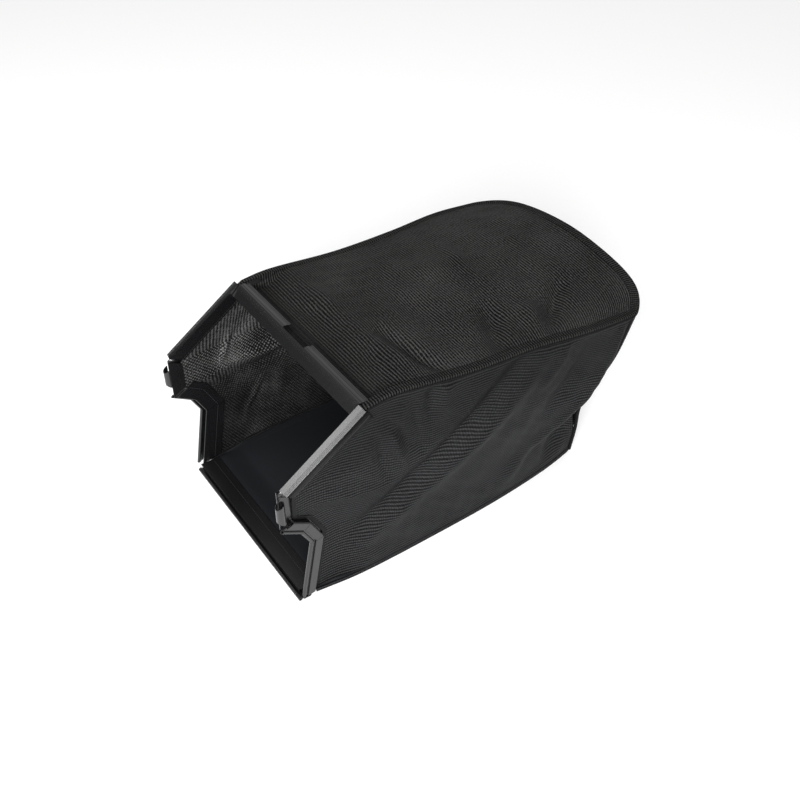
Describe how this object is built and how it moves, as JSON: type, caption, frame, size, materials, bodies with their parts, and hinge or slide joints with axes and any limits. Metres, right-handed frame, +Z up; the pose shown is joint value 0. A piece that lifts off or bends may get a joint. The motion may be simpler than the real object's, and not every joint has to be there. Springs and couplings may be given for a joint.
{
  "type": "mower grass collection bag",
  "caption": "Soft mesh grass collection bag for a walk-behind mower, with plastic clips sewn round its open mouth that hold on to a wire bag frame.",
  "frame": {"origin": "middle of the box under the bag, at the level it lies on", "axes": "+X the bag's right-hand side, +Y from the mouth to the rear, +Z up"},
  "size_m": [0.4478, 0.7392, 0.3629],
  "materials": {
    "clip_plastic": "extruded black plastic, satin",
    "top_mesh": "woven black mesh, ribs across the bag",
    "side_mesh": "woven black mesh, ribs along the bag",
    "coated_cloth": "smooth coated black cloth",
    "binding_tape": "ribbed black binding tape"
  },
  "bodies": {
    "root": {"back_panel": "top_mesh", "bottom_clip": "clip_plastic", "bottom_hem_tape": "binding_tape", "bottom_panel": "coated_cloth", "left_bottom_welt": "binding_tape", "left_finger_clip": "clip_plastic", "left_hem_tape": "binding_tape", "left_knee_clip": "clip_plastic", "left_ledge_clip": "clip_plastic", "left_post_clip": "clip_plastic", "left_rear_welt": "binding_tape", "left_side_panel": "side_mesh", "left_slope_clip": "clip_plastic", "left_top_welt": "binding_tape", "rear_bottom_welt": "binding_tape", "rear_top_welt": "binding_tape", "right_bottom_welt": "binding_tape", "right_finger_clip": "clip_plastic", "right_hem_tape": "binding_tape", "right_knee_clip": "clip_plastic", "right_ledge_clip": "clip_plastic", "right_post_clip": "clip_plastic", "right_rear_welt": "binding_tape", "right_side_panel": "side_mesh", "right_slope_clip": "clip_plastic", "right_top_welt": "binding_tape", "top_clip": "clip_plastic", "top_hem_tape": "binding_tape", "top_panel": "top_mesh"}
  },
  "joints": []
}
